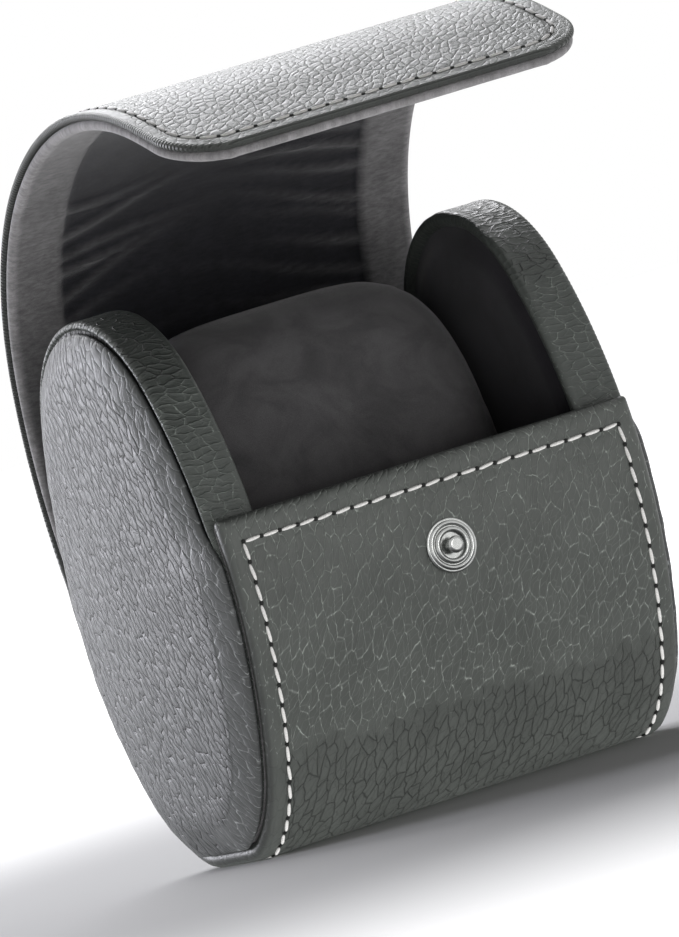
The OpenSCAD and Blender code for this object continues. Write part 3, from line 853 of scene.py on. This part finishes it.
def stitch_routes():
    """Two lines of stitches as places (across, along): the panel's top, and from there round the strip."""
    w, top, tip = HALF_W - STITCH_SIDE, STITCH_TOP, line.length - STITCH_TIP
    r = leather_plan.corner - STITCH_SIDE
    side = [(w, s) for s in np.arange(top, tip - r, ROUTE_STEP)]
    side += [(w - r + r * math.cos(a), tip - r + r * math.sin(a)) for a in np.linspace(0, math.pi / 2, 24)]
    end = [(x, tip) for x in np.arange(w - r, 0, -ROUTE_STEP)]
    half = side + end
    return np.array([(-w, top), (w, top)]), np.array(half + [(-x, s) for x, s in reversed(half)])


def stitch_marks():
    """(across, along, heading across, heading along, 1 for a needle hole or 0) at every half pitch."""
    marks = []
    for route in stitch_routes():
        run = run_along(route)
        count = 2 * round(run[-1] / STITCH_PITCH)
        at = np.linspace(0, run[-1], count + 1)
        x, s = (np.interp(at, run, route[:, k]) for k in (0, 1))
        ahead = np.clip(at + 0.3, 0, run[-1])
        behind = np.clip(at - 0.3, 0, run[-1])
        dx, ds = (np.interp(ahead, run, route[:, k]) - np.interp(behind, run, route[:, k]) for k in (0, 1))
        marks += [(x[k], s[k], dx[k], ds[k], 1 - k % 2) for k in range(count + 1)]
    return marks


def thread_pieces():
    """Stitches of each length of the strip, as one piece that is carried like the leather under it."""
    marks = stitch_marks()
    for suffix, low, high, body, fold, reach in links_of_strip():
        points, ups, alongs, holes = [], [], [], []
        for x, s, dx, ds, hole in marks:
            if not low <= s < high:
                continue
            ahead = (strip_point(0, s + 0.4, 0) - strip_point(0, s - 0.4, 0)).normalized()
            points.append(strip_point(x, s, leather_out(s) - LAP))
            ups.append((strip_point(0, s, 1) - strip_point(0, s, 0)).normalized())
            alongs.append((Vector((dx, 0, 0)) + ahead * ds).normalized())
            holes.append(hole)
        marked = marked_points("marks_" + suffix, points, ups, alongs, holes)
        piece = grown(marked, STITCHES, THREAD_SIZES, "thread_" + suffix)
        carried(piece, body, fold)


thread_pieces()

# ---- end caps

CAP_SEAM_X = HALF_W + 0.1
ROLL_R = 1.1
GROOVE_IN = 1.3
GROOVE_WIDE = 0.42
RIM_PROUD = 0.45
GROOVE_X = CAP_SEAM_X + 0.06
VELVET_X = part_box("cap_velvet_right")[0].x / MM
ROLL_X = VELVET_X - 0.2 + ROLL_R
AROUND = 260
RIB_HEIGHT, RIB_PITCH = 0.05, 0.8
RIM_TURN_R = 0.62


def oval_round(count):
    """Angles evenly spread round the oval's outline, with the run to each."""
    fine = np.linspace(-math.pi, math.pi, 4001)
    run = run_along([oval_at(a, 0) for a in fine])
    even = np.linspace(0, run[-1], count + 1)[:-1]
    return np.interp(even, run, fine), even


def ring_faces(rows, columns):
    """Faces of a grid that closes on itself along its rows."""
    faces = []
    for j in range(rows - 1):
        for i in range(columns):
            k = (i + 1) % columns
            faces.append((j * columns + i, j * columns + k, (j + 1) * columns + k, (j + 1) * columns + i))
    return faces


def disc_faces(rings, columns):
    """Closed rings of faces, shut in the middle by a fan to the last point."""
    last, hub = (rings - 1) * columns, rings * columns
    fan = [(last + i, last + (i + 1) % columns, hub) for i in range(columns)]
    return ring_faces(rings, columns) + fan


def wrapped_share(y, z):
    """1 where the strip lies round the rim, 0 where the rim is bare."""
    if y < 0:
        return smooth_step(PANEL_TOP + 0.5, PANEL_TOP - 7.5, z)
    return smooth_step(FOLD_HEIGHT + 12, FOLD_HEIGHT - 26, z)


def rim_profile():
    """Points (x, offset from the oval, how far proud) from the seam over the rim to the rolled edge."""
    turn = RIM_TURN_R
    points = [(GROOVE_X, -GROOVE_IN - 1.2, 0), (GROOVE_X, -GROOVE_IN, 0)]
    for a in np.linspace(-50, 90, 12):
        a = math.radians(a)
        x = CAP_SEAM_X - turn + turn * math.cos(a)
        points.append((x, -turn + turn * math.sin(a), max(0.0, math.cos(a)) ** 0.7))
    points += [(x, 0.0, 0) for x in np.linspace(CAP_SEAM_X - turn, ROLL_X, 14)[1:]]
    for a in np.linspace(90, 235, 12)[1:]:
        a = math.radians(a)
        points.append((ROLL_X + ROLL_R * math.cos(a), -ROLL_R + ROLL_R * math.sin(a), 0))
    points.append((ROLL_X + 0.3, -2.7, 0))
    return points


def cap_rim(side, name):
    """Leather round the rim: ribbed where it turns into the seam, creased across elsewhere."""
    angles, runs = oval_round(AROUND * 4)
    profile = rim_profile()
    along = run_along(np.array(profile)[:, :2])
    bare = [1 - wrapped_share(*oval_at(a, 0)) for a in angles]
    points, uv, painted_glint, cut, press = [], [], [], [], []
    for (x, t, proud), v in zip(profile, along):
        at_seam = math.exp(-((x - CAP_SEAM_X + 0.1) / 0.6) ** 2)
        flat = 1.0 if CAP_SEAM_X - 0.8 > x > ROLL_X - 0.5 else 0.2
        for a, run, shown in zip(angles, runs, bare):
            beat = math.sin(run * 2 * math.pi / RIB_PITCH + 1.6 * ripple(run, v, 5, 2.3))
            ribs = RIB_HEIGHT * at_seam * (beat - 1)
            crease = ripple(run * 2.2, v * 0.7 + side, 4.6, 5.5)
            dent = -0.07 - 0.08 * max(-0.8, min(0.8, crease))
            y, z = oval_at(a, t + ribs + dent * flat)
            points.append((side * (x + proud * RIM_PROUD * shown), y, z))
            uv.append((v, run * side))
            # Painted highlight: creases are painted pale, with glints, on the lower part of the band.
            painted_glint.append(smooth_step(32, 24, z))
            # Painted shade at the floor of the seam groove.
            cut.append(1.0 if t <= -GROOVE_IN and x == GROOVE_X else 0.0)
            press.append(smooth_step(ROLL_X + 1.0, ROLL_X - 0.4, x))
    faces = ring_faces(len(profile), len(angles))
    obj = finished(name, points, faces, rim_hide, uv, {"press": press, "cut": cut, "painted_glint": painted_glint})
    if side < 0:
        obj.data.flip_normals()
    return obj


PAD_SIDE = [(2.6, 0.0), (0.35, 0.0), (0.08, 0.06), (0.0, 0.13), (0.12, 0.195), (0.5, 0.265), (1.2, 0.345),
            (2.1, 0.445), (3.1, 0.545), (4.1, 0.63), (5.0, 0.685), (6.0, 0.72), (7.2, 0.745)]
PAD_OVER = 0.8
PAD_RINGS = 26
PUCKER = 0.2
PAD_WAVE = 0.14
VELVET_IN = 2.3
VELVET_SINK = 0.9


def cap_face(side, name):
    """The padded outer face: flat in the middle, with a full shoulder, lightly puckered at the seam.

    Its outline lies inside the rim where that is bare, and comes out over the strip's side below.
    """
    angles, runs = oval_round(AROUND)
    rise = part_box("cap_face_leather_right")[1].x / MM - GROOVE_X
    groove = GROOVE_IN + GROOVE_WIDE
    edge = [(PAD_OVER + groove) * wrapped_share(*oval_at(a, 0)) - groove for a in angles]
    points, uv, painted_glint = [], [], []
    last_in, last_h = PAD_SIDE[-1]
    levels = [(d, h, 1.0) for d, h in PAD_SIDE]
    levels += [(last_in, last_h + (1 - last_h) * (1 - s * s), s)
               for s in (math.cos(0.5 * math.pi * k / PAD_RINGS) for k in range(2, PAD_RINGS))]
    for k, (d, h, s) in enumerate(levels):
        for a, run, t in zip(angles, runs, edge):
            y, z = oval_at(a, t - d)
            y, z = y * s, z * s
            folded = math.exp(-((d - 1.6) / 1.3) ** 2) if s == 1.0 and k > 1 else 0.0
            pucker = PUCKER * folded * ripple(run * 1.7, d * 0.8, 4.0, 4.2)
            soft = PAD_WAVE * (1 - s) * ripple(y, z, 13.0, side * 3.0)
            points.append((side * (GROOVE_X + 0.02 + rise * h + pucker + soft), y, z))
            length = max(1.0, math.hypot(y, z))
            drawn = 1 - 0.12 * max(0.0, 5.0 - d) / length if s == 1.0 else 1.0
            uv.append((-side * y * drawn, z * drawn))
            # Painted highlight: creases painted pale, with glints, on the front of the shoulder.
            painted_glint.append(smooth_step(5.4, 3.6, d) * smooth_step(2, -8, y) if s == 1.0 else 0.0)
    points.append((side * (GROOVE_X + 0.02 + rise), 0, 0))
    uv.append((0, 0))
    painted_glint.append(0.0)
    still = np.zeros(len(points))
    obj = finished(name, points, disc_faces(len(levels), AROUND), face_hide, uv,
                   {"press": still, "cut": still, "painted_glint": painted_glint})
    if side < 0:
        obj.data.flip_normals()
    return obj


def cap_inner(side, name):
    """The thinly padded velvet inside of the cap, sunk at its border."""
    angles, runs = oval_round(AROUND)
    rings = [1.0, 0.985, 0.96, 0.93, 0.89, 0.84, 0.76, 0.62, 0.44, 0.22]
    points = []
    for s in rings:
        for a in angles:
            y, z = oval_at(a, -VELVET_IN)
            sink = VELVET_SINK * smooth_step(0.87, 1.0, s)
            x = VELVET_X + sink + 0.05 * ripple(y * s, z * s, 11.0, side * 2.0)
            points.append((side * x, y * s, z * s))
    points.append((side * VELVET_X, 0, 0))
    obj = finished(name, points, disc_faces(len(rings), AROUND), black_velvet)
    if side > 0:
        obj.data.flip_normals()
    return obj


for side, word in ((-1, "left"), (1, "right")):
    rim = cap_rim(side, "cap_rim_" + word)
    pad = cap_face(side, "cap_pad_" + word)
    velvet_pad = cap_inner(side, "cap_lining_" + word)
    for obj in (rim, pad, velvet_pad):
        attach(obj, "case")
    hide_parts("cap_band_" + word, "cap_rolled_edge_" + word)
    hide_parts("cap_face_leather_" + word, "cap_face_foam_" + word)
    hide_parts("cap_velvet_" + word, "cap_inner_foam_" + word)

# ---- cushion

CUSHION_SHARE = 0.965
CUSHION_ROWS, CUSHION_COLUMNS = 48, 96
SHOULDER = 0.42
ROUND_SIDE = 0.88
CUSHION_MESH = 1.8
CUSHION_CAP = 0.5


def blunt(v, power):
    """A sine or cosine drawn towards its ends, which makes a circle squarer."""
    return math.copysign(abs(v) ** power, v)


def cushion_piece():
    """A pillow with round shoulders, a little smaller than its space, ready to swell."""
    low, high = (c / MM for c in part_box("cushion_cover"))
    middle, half = (low + high) / 2, (high - low) / 2 * CUSHION_SHARE
    rows, columns = CUSHION_ROWS, CUSHION_COLUMNS
    points = []
    for j in range(rows):
        v = math.radians(-86 + 172 * j / (rows - 1))
        x, waist = blunt(math.sin(v), SHOULDER), blunt(math.cos(v), SHOULDER)
        for i in range(columns):
            a = 2 * math.pi * i / columns
            y = middle.y + half.y * waist * blunt(math.cos(a), ROUND_SIDE)
            z = middle.z + half.z * waist * blunt(math.sin(a), ROUND_SIDE)
            points.append((x * half.x, y, z - CENTRE_Z))
    points += [(-half.x, middle.y, middle.z - CENTRE_Z), (half.x, middle.y, middle.z - CENTRE_Z)]
    last, pole = (rows - 1) * columns, len(points) - 2
    faces = ring_faces(rows, columns)
    faces += [((i + 1) % columns, i, pole) for i in range(columns)]
    faces += [(last + i, last + (i + 1) % columns, pole + 1) for i in range(columns)]
    obj = finished("cushion_velvet", points, faces, grey_velvet)
    tidy_mesh(obj)
    return obj


def swollen(obj):
    """The pillow as a cloth bag blown up a little, which wrinkles it; no point moves past the cap."""
    remesh = obj.modifiers.new("even mesh", "REMESH")
    remesh.mode = "VOXEL"
    remesh.voxel_size = CUSHION_MESH * MM
    baked(obj)
    rest = places_of(obj.data)
    cloth = obj.modifiers.new("cover", "CLOTH").settings
    cloth.quality = 5
    cloth.mass = 0.1
    cloth.use_pressure = True
    cloth.uniform_pressure_force = 4.0
    cloth.tension_stiffness = 15
    cloth.compression_stiffness = 15
    cloth.shrink_min = -0.02
    cloth.effector_weights.gravity = 0
    for step in range(1, 21):
        bpy.context.scene.frame_set(step)
    baked(obj)
    bpy.context.scene.frame_set(1)
    moved = places_of(obj.data) - rest
    far = np.linalg.norm(moved, axis=1, keepdims=True)
    moved *= np.minimum(1, CUSHION_CAP * MM / np.maximum(far, 1e-9))
    low, high = (np.array(c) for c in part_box("cushion_cover"))
    obj.data.vertices.foreach_set("co", np.clip(rest + moved, low, high).ravel())
    finer = obj.modifiers.new("finer", "SUBSURF")
    finer.levels = finer.render_levels = 1
    baked(obj)


def places_of(mesh):
    """All the points of a mesh, one row each."""
    places = np.zeros(len(mesh.vertices) * 3)
    mesh.vertices.foreach_get("co", places)
    return places.reshape(-1, 3)


def baked(obj):
    """Turns the modifiers into plain mesh."""
    mesh = evaluated(obj)
    obj.modifiers.clear()
    obj.data = mesh
    mesh.name = obj.name
    mesh.shade_smooth()


cushion = cushion_piece()
swollen(cushion)
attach(cushion, "cushion")
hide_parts("cushion_cover")

# ---- press stud, boards and core, which show as they are

DRESSED = {
    "snap_stud": nickel, "snap_stud_plate": nickel, "snap_socket": nickel, "snap_socket_springs": nickel,
    "snap_socket_plate": nickel, "cap_board_left": board, "cap_board_right": board, "cushion_core": foam,
}
for node, material in DRESSED.items():
    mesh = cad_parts[node].data
    mesh.materials.clear()
    mesh.materials.append(material)

# ---- camera, lights and floor

PHOTO_H = 937
FOCAL_PX = 11853.8
VIEW_TURN, VIEW_RISE, VIEW_ROLL = -24.555, 1.328, 16.666
VIEW_RANGE, VIEW_RIGHT, VIEW_UP = 1.77807, 0.002332, 0.008623
LIGHTS_AIM = (0, 0, 0.05)
FLOOR_R = 4.0
FLOOR_GREY = 0.48
FLOOR_BOUNCE = 1.1
FADE_FROM, FADE_TO = 0.1, 0.44
UNSEEN_WORLD = 0.14


def make_camera():
    turn, rise, roll = (math.radians(v) for v in (VIEW_TURN, VIEW_RISE, VIEW_ROLL))
    back = Vector((math.sin(turn) * math.cos(rise), -math.cos(turn) * math.cos(rise), math.sin(rise)))
    right = Vector((math.cos(turn), math.sin(turn), 0))
    up = back.cross(right)
    right, up = (right * math.cos(roll) - up * math.sin(roll), up * math.cos(roll) + right * math.sin(roll))
    data = bpy.data.cameras.new("camera")
    data.sensor_width = 36.0
    data.lens = FOCAL_PX * data.sensor_width / PHOTO_H
    data.clip_start, data.clip_end = 0.1, 20.0
    camera = in_scene("camera", data)
    centre = Vector((0, 0, CENTRE_Z * MM))
    place = centre + back * VIEW_RANGE - right * VIEW_RIGHT + up * VIEW_UP
    camera.matrix_world = Matrix.Translation(place) @ Matrix((right, up, back)).transposed().to_4x4()
    bpy.context.scene.camera = camera


def soft_light(name, place, size, power, colour):
    data = bpy.data.lights.new(name, "AREA")
    data.shape = "DISK"
    data.size = size
    data.energy = power
    data.color = colour
    lamp = in_scene(name, data)
    lamp.location = place
    aim = Vector(LIGHTS_AIM) - Vector(place)
    lamp.rotation_mode = "QUATERNION"
    lamp.rotation_quaternion = aim.to_track_quat("-Z", "Y")


def seen_directly(n):
    """1 for what the camera, mirrors and glass see, 0 for the light that falls on things."""
    path = n.add("ShaderNodeLightPath", out=None).outputs
    seen = n.math("MAXIMUM", path["Is Camera Ray"], path["Is Glossy Ray"])
    return n.math("MAXIMUM", seen, path["Is Transmission Ray"])


def make_world():
    world = bpy.data.worlds.new("studio")
    bpy.context.scene.world = world
    world.use_nodes = True
    n = Nodes(world.node_tree)
    back = world.node_tree.nodes["Background"]
    strength = n.times(seen_directly(n), 1 - UNSEEN_WORLD, UNSEEN_WORLD)
    n.fill(back, {"Strength": strength, "Color": (1, 1, 1, 1)})


# The floor glows white for the camera only away from the case and fades to its own grey near it, which paints
# a darker pool round the case on top of its real shadow. For other rays it glows as an unseen light from
# below, standing in for bounce.
def make_floor():
    mesh = bpy.data.meshes.new("floor")
    r = FLOOR_R
    mesh.from_pydata([(-r, -r, 0), (r, -r, 0), (r, r, 0), (-r, r, 0)], [], [(0, 1, 2, 3)])
    floor = in_scene("floor", mesh)
    material, n, shader = new_material("floor_white")
    place = n.add("ShaderNodeTexCoord", out="Object")
    away = n.add("ShaderNodeVectorMath", {0: place}, "Value", operation="LENGTH")
    seen = seen_directly(n)
    bounce = n.times(n.math("SUBTRACT", 1.0, seen), FLOOR_BOUNCE)
    n.fill(shader, {
        "Base Color": (FLOOR_GREY, FLOOR_GREY, FLOOR_GREY, 1), "Roughness": 0.9, "Specular IOR Level": 0.1,
        "Emission Color": (1, 1, 1, 1),
        "Emission Strength": n.times(seen, n.ramp(away, FADE_FROM, FADE_TO), bounce),
    })
    mesh.materials.append(material)


bpy.context.scene.view_settings.view_transform = "Standard"
make_camera()
make_world()
make_floor()
soft_light("back_left", (-0.76, 1.15, 0.35), 0.8, 19, (0.92, 0.92, 1.0))
soft_light("above", (0.15, 1.0, 0.9), 1.0, 21, (0.97, 0.97, 1.0))
soft_light("front", (0.3, -1.3, 0.06), 0.3, 2.0, (1.0, 0.98, 0.97))
